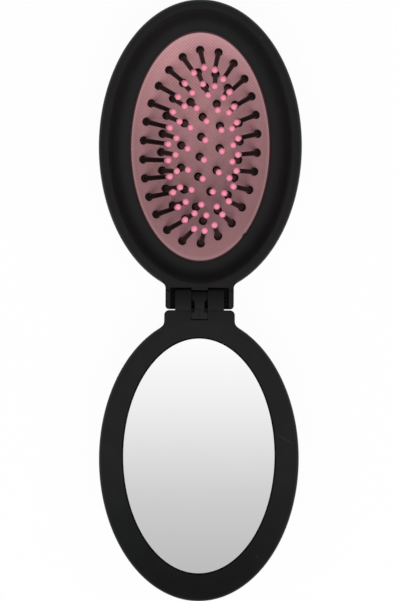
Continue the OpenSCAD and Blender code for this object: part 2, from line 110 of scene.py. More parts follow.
def oval_skin(bm, middle, half, outline, tube=False):
    """Pulls an oval edge through the outline's points, each (inset, height), and closes the ends."""
    ring = bmesh.ops.create_circle(bm, segments=RING_STEPS, radius=1)["verts"]
    inset, height = outline[0]
    bmesh.ops.scale(bm, verts=ring, vec=(half.x - inset, half.y - inset, 1))
    bmesh.ops.translate(bm, verts=ring, vec=(middle.x, middle.y, height))
    first = edges = list({edge for vert in ring for edge in vert.link_edges})
    about = Matrix.Translation((-middle.x, -middle.y, 0))
    for next_inset, next_height in outline[1:]:
        ring, edges = pulled_ring(bm, edges)
        shrink = [(half[i] - next_inset) / (half[i] - inset) for i in (0, 1)] + [1]
        bmesh.ops.scale(bm, verts=ring, vec=shrink, space=about)
        bmesh.ops.translate(bm, verts=ring, vec=(0, 0, next_height - height))
        inset, height = next_inset, next_height
    if tube:
        bmesh.ops.bridge_loops(bm, edges=first + edges)
    else:
        bmesh.ops.edgeloop_fill(bm, edges=first)
        bmesh.ops.edgeloop_fill(bm, edges=edges)


def pushed(bm, verts, way, soft=0.0):
    """A closed solid from one face, pushed out along a vector, with the edges of its ends softened."""
    face = bm.faces.new(verts)
    geom = bmesh.ops.extrude_face_region(bm, geom=[face])["geom"]
    moved = [g for g in geom if isinstance(g, bmesh.types.BMVert)]
    bmesh.ops.translate(bm, verts=moved, vec=way)
    if soft:
        end = next(g for g in geom if isinstance(g, bmesh.types.BMFace))
        edges = list(end.edges) + (list(face.edges) if face.is_valid else [])
        bmesh.ops.bevel(
            bm, geom=edges, offset=soft, offset_type="OFFSET", segments=2, profile=0.5,
            affect="EDGES", material=-1, clamp_overlap=True,
        )


def side_prism(outline, low_x, high_x, soft=0.0):
    """A bar along X from an outline of (y, z) points about the hinge axis."""
    bm = bmesh.new()
    verts = [bm.verts.new((low_x, y, hinge.z + z)) for y, z in outline]
    pushed(bm, verts, (high_x - low_x, 0, 0), soft)
    return solid("bar", bm)


def plan_prism(outline, low, high, soft=0.0):
    """An upright block from an outline of (x, y) points."""
    bm = bmesh.new()
    verts = [bm.verts.new((x, y, low)) for x, y in outline]
    pushed(bm, verts, (0, 0, high - low), soft)
    return solid("plan", bm)


def axle(radius, half_width, middle_x=0.0):
    """A cylinder along X on the hinge axis."""
    bm = bmesh.new()
    place = Matrix.Translation((middle_x, hinge.y, hinge.z)) @ Matrix.Rotation(math.pi / 2, 4, "Y")
    bmesh.ops.create_cone(
        bm, cap_ends=True, segments=TURNING_STEPS, radius1=radius, radius2=radius,
        depth=2 * half_width, matrix=place,
    )
    return solid("axle", bm)


def arc(centre, radius, first, last, count=16):
    """Points round a centre, in degrees."""
    return [
        (centre[0] + radius * math.cos(t), centre[1] + radius * math.sin(t))
        for t in steps(math.radians(first), math.radians(last), count)
    ]


def both_sides(right):
    """Closes the right half of an outline with its mirror image."""
    return right + [(-x, y) for x, y in reversed(right)]


def near_end(half, reach, inset, x):
    """How far from the hinge axis an oval's near end lies, at a distance x from its middle line."""
    return reach + half.y - (half.y - inset) * math.sqrt(1 - (x / (half.x - inset)) ** 2)


def block_plan(half_w, free_y, half, reach, crest, flare, corner):
    """A hinge block from above, from its free end to the crest of the oval's rim, with its flares."""
    slope = math.atan(half.y * half_w / (half.x * math.sqrt(half.x**2 - half_w**2)))
    flare_w = flare * (1 - math.sin(slope))
    flare_y = near_end(half, reach, 0, half_w) - flare_w / math.cos(slope)
    right = arc((half_w - corner, free_y + corner), corner, -90, 0, 6)
    right += arc((half_w + flare, flare_y), flare, 180, 90 + math.degrees(slope), 8)
    return right + [(half_w + flare_w, near_end(half, reach, crest, half_w + flare_w))]


def solid(name, bm):
    """Makes an object of a mesh whose faces all point outwards."""
    bmesh.ops.remove_doubles(bm, verts=bm.verts, dist=1e-7)
    bmesh.ops.recalc_face_normals(bm, faces=bm.faces)
    mesh = bpy.data.meshes.new(name)
    bm.to_mesh(mesh)
    bm.free()
    piece = bpy.data.objects.new(name, mesh)
    bpy.context.scene.collection.objects.link(piece)
    return piece


def joined(piece, operation, tool):
    """Joins a tool to a piece, or cuts it away, and uses the tool up."""
    change = piece.modifiers.new("join", "BOOLEAN")
    change.operation = operation
    change.solver = "EXACT"
    change.object = tool
    bpy.context.view_layer.update()
    evaluated = piece.evaluated_get(bpy.context.evaluated_depsgraph_get())
    mesh = bpy.data.meshes.new_from_object(evaluated)
    piece.modifiers.clear()
    piece.data = mesh
    bpy.data.objects.remove(tool)
    return piece


def finished(piece, crease=CREASE_ANGLE):
    """Shades a piece smooth, but for its sharp edges."""
    bm = bmesh.new()
    bm.from_mesh(piece.data)
    bmesh.ops.remove_doubles(bm, verts=bm.verts, dist=2e-6)
    bmesh.ops.dissolve_degenerate(bm, edges=bm.edges, dist=1e-6)
    for face in bm.faces:
        face.smooth = True
    for edge in bm.edges:
        edge.smooth = len(edge.link_faces) == 2 and edge.calc_face_angle(0) < crease
    bm.to_mesh(piece.data)
    bm.free()
    return piece


def coated(piece, material):
    """Gives a piece one material in place of those that its joins left."""
    piece.data.materials.clear()
    piece.data.materials.append(material)


class Shade:
    """A socket of a material that Python's operators reckon with, and the one way to add a node."""

    def __init__(self, tree, socket=None):
        self.tree, self.socket = tree, socket

    def add(self, kind, settings=(), sockets=(), out=0):
        """Adds a node: its settings first, then the values or links of its sockets."""
        made = self.tree.nodes.new("ShaderNode" + kind)
        for name, value in dict(settings).items():
            if name == "stops":
                elements = made.color_ramp.elements
                while len(elements) < len(value):
                    elements.new(1)
                for element, (place, colour) in zip(elements, value):
                    element.position, element.color = place, colour
            else:
                setattr(made, name, value)
        for name, value in dict(sockets).items():
            if isinstance(value, Shade):
                self.tree.links.new(value.socket, made.inputs[name])
            else:
                made.inputs[name].default_value = value
        return Shade(self.tree, made.outputs[out]) if made.outputs else made

    def maths(self, operation, *others):
        return self.add("Math", {"operation": operation}, dict(enumerate((self, *others))))

    def __add__(self, other):
        return self.maths("ADD", other)

    def __sub__(self, other):
        return self.maths("SUBTRACT", other)

    def __rsub__(self, other):
        return self.add("Math", {"operation": "SUBTRACT"}, {0: other, 1: self})

    def __mul__(self, other):
        return self.maths("MULTIPLY", other)

    def __truediv__(self, other):
        return self.maths("DIVIDE", other)

    __radd__, __rmul__ = __add__, __mul__

    def vector(self, operation, other, out=0):
        return self.add("VectorMath", {"operation": operation}, {0: self, 1: other}, out)

    def axis(self, index):
        """One of the three coordinates."""
        return self.add("SeparateXYZ", {}, {0: self}, index)

    def ray(self, kind):
        """1 for the rays of a kind and 0 for the others."""
        return self.add("LightPath", out=f"Is {kind} Ray")

    def between(self, low, high):
        """Runs from 0 to 1 as this goes from low to high."""
        return self.add("MapRange", {"clamp": True}, {0: self, 1: low, 2: high})

    def colour(self, none, full):
        """Mixes two colours by this value."""
        mixed = {0: self, 6: none, 7: full}
        return self.add("Mix", {"data_type": "RGBA"}, mixed, out=2)

    def noise(self, size, detail=2.0):
        """Noise over these coordinates, with grains of that size."""
        sockets = {"Vector": self, "Scale": 1 / size, "Detail": detail}
        return self.add("TexNoise", {}, sockets)

    def bump(self, depth, strength=1.0):
        """Turns this height into a normal, for a relief of that depth."""
        return self.add("Bump", {}, {"Height": self, "Distance": depth, "Strength": strength})

    def feed(self, shader, name):
        self.tree.links.new(self.socket, shader.inputs[name])


def start_material(name, **constants):
    """A new material: its shader, with the constants on its sockets, and the Object coordinates."""
    made = bpy.data.materials.new(name)
    made.use_nodes = True
    shader = made.node_tree.nodes["Principled BSDF"]
    for socket, value in constants.items():
        shader.inputs[socket.replace("_", " ")].default_value = value
    place = Shade(made.node_tree).add("TexCoord", out=3)
    return made, shader, place


COOL_BLACK, WARM_BLACK = (0.0066, 0.0072, 0.0076), (0.0084, 0.0076, 0.0078)
# The near-black that painted shade darkens the plastic towards.
SHADE_BLACK = (0.0006, 0.0006, 0.0008, 1)
DUST_GREY = (0.055, 0.053, 0.052, 1)
CRUMB_IN, CRUMB_OUT = 0.1 * mm, 0.26 * mm
SCRATCH_IN, SCRATCH_OUT = 0.06 * mm, 0.2 * mm


def black_plastic(name, tone=1.0, roughness=0.42, shade_fades=(), crumbs=(), scratch=None):
    """Matt moulded plastic: fine grain, hazy patches, painted shade darkening given stretches along Y,
    dust and a hairline.

    A fade is a stretch of painted shade, (from_y, to_y, share), a crumb is a point, and a scratch is
    its two ends.
    """
    made, shader, place = start_material(name, Specular_IOR_Level=0.14)
    cool, warm = ([tone * c for c in black] + [1] for black in (COOL_BLACK, WARM_BLACK))
    colour = place.noise(38 * mm).between(0.35, 0.65).colour(cool, warm)
    # Painted shade: along each fade the colour darkens towards near-black, and the same share goes to
    # Metallic, which takes the reflections away there as well.
    painted_shade = None
    for from_y, to_y, share in shade_fades:
        dim = place.axis(1).between(from_y, to_y) * share
        colour = dim.colour(colour, SHADE_BLACK)
        painted_shade = painted_shade + dim if painted_shade else dim
    if painted_shade:
        painted_shade.feed(shader, "Metallic")
    haze = place.noise(7 * mm, 4)
    marks = haze.between(0.45, 0.8) * 0.05
    for centre in crumbs:
        away = place.vector("DISTANCE", centre, out=1)
        marks = marks + (1 - away.between(CRUMB_IN, CRUMB_OUT)) * 0.8
    if scratch:
        start, end = Vector(scratch[0]), Vector(scratch[1])
        length = (end - start).length
        along = (end - start) / length
        across = Vector((-along.y, along.x, 0))
        offset = place.vector("SUBTRACT", start)
        wobble = (place.noise(2.5 * mm) - 0.5) * (0.5 * mm)
        beside = (offset.vector("DOT_PRODUCT", across, out=1) + wobble).maths("ABSOLUTE")
        run = offset.vector("DOT_PRODUCT", along, out=1)
        ends = run.between(0, 0.8 * mm) * (1 - run.between(length - mm, length))
        marks = marks + (1 - beside.between(SCRATCH_IN, SCRATCH_OUT)) * ends * 0.28
    marks.colour(colour, DUST_GREY).feed(shader, "Base Color")
    grain = place.noise(0.22 * mm, 3)
    (haze * 0.12 + grain * 0.08 + (roughness - 0.1)).feed(shader, "Roughness")
    grain.bump(0.012 * mm).feed(shader, "Normal")
    return made


side, bottom = (0, rim_z - RIM_H), (BACK_INSET, 0)
in_side, in_bottom = (BRUSH_WALL, rim_z - RIM_H), (BACK_INSET, BRUSH_WALL)
quarter = math.pi / 2
seat_turn = bend_turn(in_side, in_bottom, CORNER_FULLNESS, rim_z - SEAT_DROP)
over_turn = bend_turn(in_side, in_bottom, CORNER_FULLNESS, rim_z - LEDGE_DROP)
under_turn = bend_turn(in_side, in_bottom, CORNER_FULLNESS, rim_z - LEDGE_DROP - LEDGE_T)
outline = [(OPENING_INSET - OPENING_EDGE, 0)]
outline += [bend(side, bottom, CORNER_FULLNESS, t) for t in steps(quarter, 0, 22)]
outline += [
    (RIM_W / 2 * (1 - math.cos(t)), rim_z - RIM_H + (RIM_H - RIM_CLEAR) * math.sin(t))
    for t in steps(0, math.pi, 22)[1:]
]
outline += [(RIM_W, rim_z - SEAT_DROP)]
outline += [bend(in_side, in_bottom, CORNER_FULLNESS, t) for t in steps(seat_turn, over_turn, 10)]
outline += [(LEDGE_INSET, rim_z - LEDGE_DROP), (LEDGE_INSET, rim_z - LEDGE_DROP - LEDGE_T)]
outline += [bend(in_side, in_bottom, CORNER_FULLNESS, t) for t in steps(under_turn, quarter, 8)]
outline += [(OPENING_INSET, BRUSH_WALL), (OPENING_INSET, OPENING_EDGE)]
bm = bmesh.new()
oval_skin(bm, brush_middle, brush_half, outline, tube=True)
housing = solid("brush_housing", bm)

BRUSH_REACH = 2.1 * mm
EAR_R = 2.72 * mm
EAR_TOP = 1.3 * mm
EAR_ROUND = 0.45 * mm
EAR_OUT = 10.25 * mm
EAR_IN = 8.8 * mm
EAR_CORNER_R = 1.05 * mm
BRUSH_FLARE_R = 1.8 * mm
KNUCKLE_IN = 2.5 * mm
SPRING_HALF_W = 2.4 * mm
TROUGH_R = 3.8 * mm
HEAD_ROOM_R = 3.1 * mm
HEAD_PLAY = 0.05 * mm
SADDLE_DROP = 0.45 * mm
SADDLE_FRONT = -1.6 * mm
BLOCK_R = 5.6 * mm
BLOCK_END = 7.9 * mm
EDGE_SOFT = 0.14 * mm
BORE_R = 0.72 * mm
AIR = 4 * mm
RIM_CRUMBS = ((18.1 * mm, 79 * mm, rim_top), (19.4 * mm, 78.7 * mm, rim_top))

under = -math.sqrt(BLOCK_R**2 - EAR_R**2)
free_turn = math.degrees(math.atan2(under, -EAR_R))
profile = arc((EAR_ROUND - EAR_R, EAR_TOP - EAR_ROUND), EAR_ROUND, 180, 90, 6)
profile += arc((EAR_R - EAR_ROUND, EAR_TOP - EAR_ROUND), EAR_ROUND, 90, 0, 6)
profile += [(EAR_R, -RIM_CLEAR), (BLOCK_END, -RIM_CLEAR), (BLOCK_END, -BLOCK_R)]
profile += arc((0, 0), BLOCK_R, -90, free_turn, 12)
block = side_prism(profile, -EAR_OUT - AIR, EAR_OUT + AIR)
plan = block_plan(
    EAR_OUT, -EAR_R, brush_half, BRUSH_REACH, RIM_W / 2, BRUSH_FLARE_R, EAR_CORNER_R
)
joined(block, "INTERSECT", plan_prism(both_sides(plan), 0, rim_z + AIR))
bm = bmesh.new()
oval_skin(bm, brush_middle, brush_half, [(RIM_W / 2, -mm), (RIM_W / 2, rim_z + AIR)])
joined(block, "DIFFERENCE", solid("inside", bm))
joined(housing, "UNION", block)
for sign in (-1, 1):
    middle_x = sign * (EAR_IN + SPRING_HALF_W) / 2
    joined(housing, "DIFFERENCE", axle(TROUGH_R, (EAR_IN - SPRING_HALF_W) / 2, middle_x))
step_turn = math.degrees(math.asin(SADDLE_DROP / TROUGH_R))
front_turn = 180 + math.degrees(math.acos(-SADDLE_FRONT / TROUGH_R))
room = arc((0, 0), TROUGH_R, -step_turn, front_turn, 48)
head_front = 180 + math.degrees(math.acos(-SADDLE_FRONT / HEAD_ROOM_R))
head_step = 360 - math.degrees(math.asin(SADDLE_DROP / HEAD_ROOM_R))
room += arc((0, 0), HEAD_ROOM_R, head_front, head_step, 24)
room_half_w = SPRING_HALF_W + HEAD_PLAY
joined(housing, "DIFFERENCE", side_prism(room, -room_half_w, room_half_w))
joined(housing, "DIFFERENCE", axle(BORE_R, EAR_OUT + mm))
finished(housing)
coated(housing, black_plastic("housing_black", crumbs=RIM_CRUMBS))
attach(housing, "brush_half")
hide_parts("brush_shell")


# Frame that clamps the rubber pad: a black moulded oval funnel pressed into the housing, whose steep
# wall and flatter slope run down to a thin lip on the pad's edge. A lump of flash was left on the lip
# where the plastic came in.
FRAME_TOP = 3.1 * mm
FRAME_LIP = 9.3 * mm
LIP_INSET = 9.6 * mm
LIP_BACK = 0.3 * mm
LIP_T = 0.65 * mm
LIP_ROUND = 0.22 * mm
FRAME_WALL = 1.3 * mm
BEAD_W = 3.2 * mm
CLEARANCE = 0.1 * mm
FLASH_AT = (13.4 * mm, 19.25 * mm)
FLASH_HALF = Vector((0.62, 0.95, 0.42)) * mm
FLASH_TURN = math.radians(-35)
SLOPE_CRUMB = (20.6 * mm, 24.1 * mm, rim_z - 7.5 * mm)

foot_in = LIP_INSET - BEAD_W - CLEARANCE
foot_z = rim_z - LEDGE_DROP + CLEARANCE
lip_z = rim_z - FRAME_LIP
frame_side = (RIM_W + CLEARANCE, rim_z - FRAME_TOP)
lip_in = LIP_INSET - LIP_BACK
frame_bottom = (lip_in - LIP_ROUND, lip_z)
outer_side = (BRUSH_WALL + 3 * CLEARANCE, rim_z - FRAME_TOP)
outer_bottom = (foot_in - FRAME_WALL, lip_z - LIP_T)
outline = [(foot_in, foot_z), (foot_in - FRAME_WALL, foot_z)]
outline += [bend(outer_side, outer_bottom, 1, t) for t in steps(quarter, 0, 8)]
outline += [bend(frame_side, frame_bottom, 1, t) for t in steps(0, quarter, 22)]
outline += [(lip_in, lip_z - LIP_ROUND), (lip_in - LIP_ROUND, lip_z - LIP_T)]
outline += [(foot_in, lip_z - LIP_T)]
bm = bmesh.new()
oval_skin(bm, brush_middle, brush_half, outline, tube=True)
surround = solid("pad_surround", bm)
bm = bmesh.new()
place = Matrix.Translation((*FLASH_AT, lip_z - LIP_T / 2))
place = place @ Matrix.Rotation(FLASH_TURN, 4, "Z") @ Matrix.Diagonal((*FLASH_HALF, 1))
bmesh.ops.create_uvsphere(bm, u_segments=20, v_segments=12, radius=1, matrix=place)
joined(surround, "UNION", solid("flash", bm))
finished(surround)
coated(surround, black_plastic("surround_black", 1.55, 0.46, crumbs=(SLOPE_CRUMB,)))
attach(surround, "brush_half")
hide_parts("pad_frame")


# Rubber pad: a thin pink moulded diaphragm, dished in, with a fine diamond pattern pressed into its
# face, clamped round its edge by the frame. A fingertip behind it snaps it out.
PAD_HALF = brush_half - Vector((LIP_INSET, LIP_INSET, 0))
PAD_SAG = 5.9 * mm
PAD_POWER = 3.3
PAD_T = 1.3 * mm
PAD_RINGS = 46
DIAMOND = 1.05 * mm
DIAMOND_DEPTH = 0.05 * mm
PALE_PINK, WARM_PINK = (0.74, 0.385, 0.415, 1), (0.84, 0.405, 0.43, 1)
SPECK_PINK, GROOVE_SHADE_PINK = (0.40, 0.215, 0.24, 1), (0.30, 0.14, 0.15, 1)
NEAR_SHADE_PINK, SIDE_SHADE_PINK = (0.38, 0.195, 0.21, 1), (0.34, 0.18, 0.19, 1)
EDGE_PALE, LIP_SHADOW_DARK = (0.66, 0.43, 0.46, 1), (0.03, 0.003, 0.004, 1)

pad_edge_z = rim_z - PAD_DROP


def pad_height(rho):
    """Height of the pad's face, from its middle, where rho is 0, to the frame's lip, where it is 1."""
    return pad_edge_z - PAD_SAG * (1 - rho**PAD_POWER)


rhos = steps(1 / PAD_RINGS, 1, PAD_RINGS - 1)
bm = bmesh.new()
ring = bmesh.ops.create_circle(bm, segments=RING_STEPS, radius=1, cap_ends=True)["verts"]
cap = ring[0].link_faces[0]
edges = list(cap.edges)
bmesh.ops.poke(bm, faces=[cap])
bmesh.ops.scale(bm, verts=bm.verts, vec=(PAD_HALF.x * rhos[0], PAD_HALF.y * rhos[0], 1))
bmesh.ops.translate(bm, verts=bm.verts, vec=(0, brush_middle.y, pad_height(rhos[0])))
about = Matrix.Translation((0, -brush_middle.y, 0))
bead = Vector((PAD_HALF.x + BEAD_W, PAD_HALF.y + BEAD_W, 1))
for rho, next_rho in zip(rhos, rhos[1:] + [None]):
    ring, edges = pulled_ring(bm, edges)
    if next_rho:
        grow = (next_rho / rho, next_rho / rho, 1)
        rise = pad_height(next_rho) - pad_height(rho)
    else:
        grow, rise = (bead.x / PAD_HALF.x, bead.y / PAD_HALF.y, 1), 0
    bmesh.ops.scale(bm, verts=ring, vec=grow, space=about)
    bmesh.ops.translate(bm, verts=ring, vec=(0, 0, rise))
pad = solid("rubber_pad", bm)
if pad.data.polygons[0].normal.z < 0:
    pad.data.flip_normals()
pad.data.polygons.foreach_set("use_smooth", [True] * len(pad.data.polygons))
wall = pad.modifiers.new("wall", "SOLIDIFY")
wall.thickness = PAD_T
wall.offset = -1

rubber, shader, place = start_material("pink_rubber", Specular_IOR_Level=0.3)
x, y = place.axis(0), place.axis(1)
rising = ((x + y) * (math.tau / DIAMOND)).maths("SINE")
falling = ((x - y) * (math.tau / DIAMOND)).maths("SINE")
diamonds = (rising + falling) * 0.25 + 0.5
patches = place.noise(11 * mm, 3).between(0.3, 0.7)
# Painted shade: the pad darkens towards its near end and towards its left and right sides, where the
# frame's walls shade it.
side_shade = (x / PAD_HALF.x).maths("ABSOLUTE").between(0.45, 0.95)
near = y.between(56 * mm, 26 * mm)
cloth = patches.colour(PALE_PINK, WARM_PINK)
speckle = place.noise(0.9 * mm, 3).between(0.3, 0.75)
cloth = (speckle * 0.25).colour(cloth, SPECK_PINK)
cloth = (near * 0.74).colour(cloth, NEAR_SHADE_PINK)
cloth = (side_shade * 0.66).colour(cloth, SIDE_SHADE_PINK)
# Painted shade in the grooves of the diamond pattern.
cloth = ((1 - diamonds) * 0.4).colour(cloth, GROOVE_SHADE_PINK)
far = place.vector("SUBTRACT", brush_middle).vector("DIVIDE", (PAD_HALF.x, PAD_HALF.y, 1))
rho = far.vector("MULTIPLY", (1, 1, 0)).vector("DISTANCE", (0, 0, 0), out=1)
pale = rho.between(0.95, 0.98)
cloth = (pale * 0.3).colour(cloth, EDGE_PALE)
# Painted shadow: a dark band along the pad's edge, under the frame's lip.
lip_shadow = rho.between(0.987, 0.997)
cloth = (lip_shadow * 0.95).colour(cloth, LIP_SHADOW_DARK)
cloth.feed(shader, "Base Color")
(speckle * 0.12 + 0.56).feed(shader, "Roughness")
(diamonds + speckle * 0.3).bump(DIAMOND_DEPTH, 0.7).feed(shader, "Normal")
pad.data.materials.append(rubber)
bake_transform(pad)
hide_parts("pad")


# Pins: 62 moulded nylon pins with a round collar on the face of the pad and a flat head behind it, the
# end of each dipped into pink coating that ran into a drop. They stand on three ovals and a middle
# row, lean towards the hinge and the right, and swing with the part of the pad that they stand on.
HEAD_OUTLINE = ((0, -2.3), (1.38, -2.3), (1.5, -2.18), (1.5, -1.72), (1.38, -1.6), (0.8, -1.6))
COLLAR_OUTLINE = (
    (0.8, -0.35), (1.22, -0.3), (1.25, -0.2), (1.25, 0.42), (1.21, 0.6), (1.1, 0.74), (0.98, 0.83),
    (0.88, 0.98), (0.82, 1.2),
)
SHAFT_OUTLINE = ((0.79, 1.5), (0.72, 7), (0.66, 12.2), (0.64, 13.2), (0, 13.25))
DROP_OUTLINE = ((0, 12.05), (0.68, 12.05), (0.7, 12.14), (0.76, 12.4))
BALL_R, BALL_Z = 0.98, 13.34
PIN_STEPS = 24
PIN_CREASE = math.radians(50)
LEAN = (math.tan(math.radians(5.8)), -math.tan(math.radians(4.6)))
PATTERN_TURN = math.radians(-4)
CENTRE_PITCH = 6 * mm
RINGS = (
    ("outer", (3.6 * mm, 5.1 * mm), 0.9, (4, 3, 3, 3, 4, 3, 3, 3)),
    ("middle", (9.1 * mm, 11.7 * mm), 0.45, (4, 3, 3, 4, 3, 3)),
    ("inner", (15.1 * mm, 16.3 * mm), 0.0, (3, 3, 3, 3)),
)


def turned(points):
    """Turns points about the middle of the pad, as the whole pattern is turned."""
    c, s = math.cos(PATTERN_TURN), math.sin(PATTERN_TURN)
    return [(x * c - y * s, x * s + y * c) for x, y in points]


def ring_roots(inset, count, first):
    """Pins at equal distances round an oval, the first one a share of a step past +X."""
    turns = np.radians(np.arange(361))
    xs, ys = (PAD_HALF.x - inset[0]) * np.cos(turns), (PAD_HALF.y - inset[1]) * np.sin(turns)
    run = np.concatenate([[0], np.cumsum(np.hypot(np.diff(xs), np.diff(ys)))])
    at = np.interp(run[-1] * (np.arange(count) + first) / count, run, turns)
    return turned(zip((PAD_HALF.x - inset[0]) * np.cos(at), (PAD_HALF.y - inset[1]) * np.sin(at)))


def root_place(x, y):
    """The place and turn of a pin: square to the rubber, but for its lean."""
    rho = max(math.hypot(x / PAD_HALF.x, y / PAD_HALF.y), 0.01)
    k = PAD_SAG * PAD_POWER * rho ** (PAD_POWER - 2)
    way = Vector((LEAN[0] - k * x / PAD_HALF.x**2, LEAN[1] - k * y / PAD_HALF.y**2, 1))
    turn = Vector((0, 0, 1)).rotation_difference(way).to_matrix().to_4x4()
    return Matrix.Translation((x, brush_middle.y + y, pad_height(rho))) @ turn


def turning(name, outline):
    """A turned shape from an outline of (radius, height) points in millimetres."""
    bm = bmesh.new()
    verts = [bm.verts.new((r * mm, 0, z * mm)) for r, z in outline]
    edges = [bm.edges.new(pair) for pair in zip(verts, verts[1:])]
    bmesh.ops.spin(
        bm, geom=verts + edges, axis=(0, 0, 1), cent=(0, 0, 0), steps=PIN_STEPS, angle=math.tau,
        use_merge=True,
    )
    bmesh.ops.remove_doubles(bm, verts=bm.verts, dist=1e-6)
    bmesh.ops.recalc_face_normals(bm, faces=bm.faces)
    mesh = bpy.data.meshes.new(name)
    bm.to_mesh(mesh)
    bm.free()
    return mesh


def on_pad(name, pattern, roots):
    """One piece of a shape set up at each of the roots."""
    bm = bmesh.new()
    for root in roots:
        known = len(bm.verts)
        bm.from_mesh(pattern)
        bm.verts.ensure_lookup_table()
        bmesh.ops.transform(bm, matrix=root_place(*root), verts=bm.verts[known:])
    return finished(solid(name, bm), PIN_CREASE)


stem_mesh = turning("stem", HEAD_OUTLINE + COLLAR_OUTLINE + SHAFT_OUTLINE)
ball = [
    (BALL_R * math.cos(t), BALL_Z + BALL_R * math.sin(t))
    for t in steps(math.radians(-40), math.pi / 2, 9)[:-1]
]
drop_mesh = turning("drop", [*DROP_OUTLINE, *ball, (0, BALL_Z + BALL_R)])

nylon, shader, place = start_material("pin_nylon", Specular_IOR_Level=0.17)
sheen = place.noise(1.6 * mm, 3)
sheen.colour((0.0045, 0.0023, 0.0023, 1), (0.0075, 0.0038, 0.0036, 1)).feed(shader, "Base Color")
(sheen * 0.2 + 0.3).feed(shader, "Roughness")
place.noise(0.35 * mm, 2).bump(0.01 * mm).feed(shader, "Normal")
coating, shader, place = start_material("pink_coating", Specular_IOR_Level=0.4)
runs = place.noise(0.8 * mm, 2)
runs.colour((0.94, 0.265, 0.40, 1), (0.97, 0.33, 0.455, 1)).feed(shader, "Base Color")
(runs * 0.15 + 0.24).feed(shader, "Roughness")
runs.bump(0.03 * mm, 0.6).feed(shader, "Normal")

middle_row = turned([(0, CENTRE_PITCH * (k - 1.5)) for k in range(4)])
groups = [("centre", "", "pad", middle_row)]
for ring, inset, first, split in RINGS:
    roots = ring_roots(inset, sum(split), first)
    for i, count in enumerate(split, 1):
        groups.append((ring, f"_{i}", f"{ring}_group_{i}", roots[:count]))
        roots = roots[count:]
for ring, number, body, roots in groups:
    pins = on_pad(f"{ring}_bristles{number}", stem_mesh, roots)
    pins.data.materials.append(nylon)
    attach(pins, body)
    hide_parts(f"{ring}_pins{number}")
    drops = on_pad(f"{ring}_drops{number}", drop_mesh, roots)
    drops.data.materials.append(coating)
    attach(drops, body)
    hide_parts(f"{ring}_balls{number}")
for mesh in (stem_mesh, drop_mesh):
    bpy.data.meshes.remove(mesh)


# Housing of the mirror half: a shallow black moulding with a crested rim, a slope down to the glass, a
# ledge and ribs behind it, and a shoulder that carries two arms with the knuckles of the hinge, a web
# between the arms and a notch for the foot of the click spring.
mirror_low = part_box("mirror_shell")[0]
MIRROR_HALF = Vector((30 * mm, 42.75 * mm, 0))
MIRROR_MIDDLE = Vector((0, mirror_low.y + MIRROR_HALF.y, 0))
MIRROR_REACH = 4.85 * mm
MIRROR_DEPTH = 10 * mm
MIRROR_RIM_H = 2 * mm
MIRROR_BACK_INSET = 12 * mm
CREST_INSET = 2.2 * mm
GLASS_LIP = 1.5 * mm
GLASS_LEDGE_W = 1.6 * mm
GLASS_GAP = 0.14 * mm
GLASS_SPREAD = 0.25 * mm
MIRROR_WALL = 1.8 * mm
RIB_T = 1.2 * mm
RIB_PITCH = 12 * mm
LONG_RIB_X = 8 * mm

tape_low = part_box("mirror_tape")[0]
glass_low, glass_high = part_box("mirror_glass")
glass_middle = (glass_low + glass_high) / 2
glass_half = (glass_high - glass_low) / 2 + Vector((GLASS_SPREAD, 0, 0))
seat_z = tape_low.z - CLEARANCE
floor_z = rim_z - MIRROR_DEPTH + MIRROR_WALL

side, bottom = (0, rim_z - MIRROR_RIM_H), (MIRROR_BACK_INSET, rim_z - MIRROR_DEPTH)
outline = [bend(side, bottom, CORNER_FULLNESS, t) for t in steps(quarter, 0, 22)]
crest_h = MIRROR_RIM_H - RIM_CLEAR
outline += [
    (CREST_INSET * (1 - math.cos(t)), rim_z - MIRROR_RIM_H + crest_h * math.sin(t))
    for t in steps(0, quarter, 12)[1:]
]
bm = bmesh.new()
oval_skin(bm, MIRROR_MIDDLE, MIRROR_HALF, outline)
mirror_housing = solid("mirror_housing", bm)

SHOULDER_HALF_W = 10.6 * mm
SHOULDER_REACH = 3.0 * mm
SHOULDER_DEPTH = 6.6 * mm
SHOULDER_CORNER_R = 1.5 * mm
MIRROR_FLARE_R = 2.2 * mm
plan = block_plan(
    SHOULDER_HALF_W, SHOULDER_REACH, MIRROR_HALF, MIRROR_REACH, CREST_INSET, MIRROR_FLARE_R,
    SHOULDER_CORNER_R,
)
shoulder = plan_prism(
    [(x, -y) for x, y in both_sides(plan)], rim_z - SHOULDER_DEPTH, rim_top, EDGE_SOFT
)
bm = bmesh.new()
oval_skin(bm, MIRROR_MIDDLE, MIRROR_HALF, [(CREST_INSET, 0), (CREST_INSET, rim_z + AIR)])
joined(shoulder, "DIFFERENCE", solid("inside", bm))
joined(mirror_housing, "UNION", shoulder)

rise = (MIRROR_HALF.x - CREST_INSET - glass_half.x - 2 * CLEARANCE) / (GLASS_LIP - RIM_CLEAR)
spread = rise * GLASS_LIP
outline = [
    (GLASS_LEDGE_W, floor_z), (GLASS_LEDGE_W, seat_z), (-GLASS_GAP, seat_z),
    (-GLASS_GAP, rim_z - GLASS_LIP), (-CLEARANCE - spread, rim_z), (-CLEARANCE - spread, rim_z + mm),
]
bm = bmesh.new()
oval_skin(bm, glass_middle, glass_half, outline)
joined(mirror_housing, "DIFFERENCE", solid("recess", bm))
rows = int((glass_half.y - GLASS_LEDGE_W) / RIB_PITCH)
long_rib = (RIB_T, 2 * glass_half.y - RIB_PITCH / 4)
rib_walls = [((x, glass_middle.y), long_rib) for x in (-LONG_RIB_X, LONG_RIB_X)]
for k in range(-rows, rows + 1):
    y = k * RIB_PITCH
    reach = 2 * glass_half.x * math.sqrt(1 - (y / glass_half.y) ** 2)
    rib_walls.append(((0, glass_middle.y + y), (reach, RIB_T)))
for (x, y), (width, length) in rib_walls:
    bm = bmesh.new()
    place = Matrix.Translation((x, y, (seat_z + floor_z) / 2 - CLEARANCE))
    place = place @ Matrix.Diagonal((width, length, seat_z - floor_z, 1))
    bmesh.ops.create_cube(bm, size=1, matrix=place)
    joined(mirror_housing, "UNION", solid("rib", bm))

